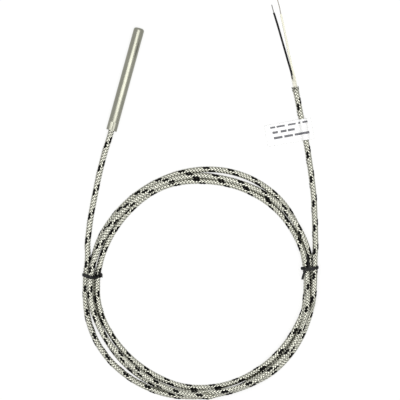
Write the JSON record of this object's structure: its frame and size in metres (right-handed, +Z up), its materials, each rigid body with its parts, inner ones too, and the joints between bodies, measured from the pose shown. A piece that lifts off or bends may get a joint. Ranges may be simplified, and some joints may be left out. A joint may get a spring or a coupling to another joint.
{
  "type": "thermocouple probe",
  "caption": "Thermocouple probe with a plain steel sleeve, a wire-braided cable wound into a loose coil and tied, a label on the cable's tail and two bare-ended cores.",
  "frame": {"origin": "on the surface the probe lies on, straight below the middle of the sleeve", "axes": "+Y along the sleeve towards its closed tip, +Z up, +X towards the coil's side"},
  "size_m": [0.1404, 0.235, 0.009],
  "materials": {
    "sleeve_steel": "fine drawn stainless steel",
    "wire_braid": "woven tinned wire with a black tracer",
    "black_glass_core": "black glass-fibre sleeving, matt",
    "cream_glass_core": "cream glass-fibre sleeving, matt",
    "glass_wrap": "pale glass-fibre wrap, matt",
    "ceramic": "set ceramic powder, matt",
    "welded_bead": "welded metal, slightly dull",
    "iron_wire": "drawn iron wire, satin",
    "copper_nickel_wire": "drawn copper-nickel wire, satin",
    "label_paper": "white label film, satin",
    "black_tie": "black plastic ribbon, satin"
  },
  "bodies": {
    "root": {"protective_sleeve": "sleeve_steel", "ceramic_filling": "ceramic", "junction_bead": "welded_bead", "iron_leg": "iron_wire", "copper_nickel_leg": "copper_nickel_wire", "black_core_inside": "black_glass_core", "white_core_inside": "cream_glass_core", "cable_probe_lead": "wire_braid", "cable_coil": "wire_braid", "cable_tail_lead": "wire_braid", "inner_wrap": "glass_wrap", "black_core_tail": "black_glass_core", "white_core_tail": "cream_glass_core", "iron_wire_end": "iron_wire", "copper_nickel_wire_end": "copper_nickel_wire", "label_flag": "label_paper", "twist_tie_left": "black_tie", "twist_tie_right": "black_tie"}
  },
  "joints": []
}
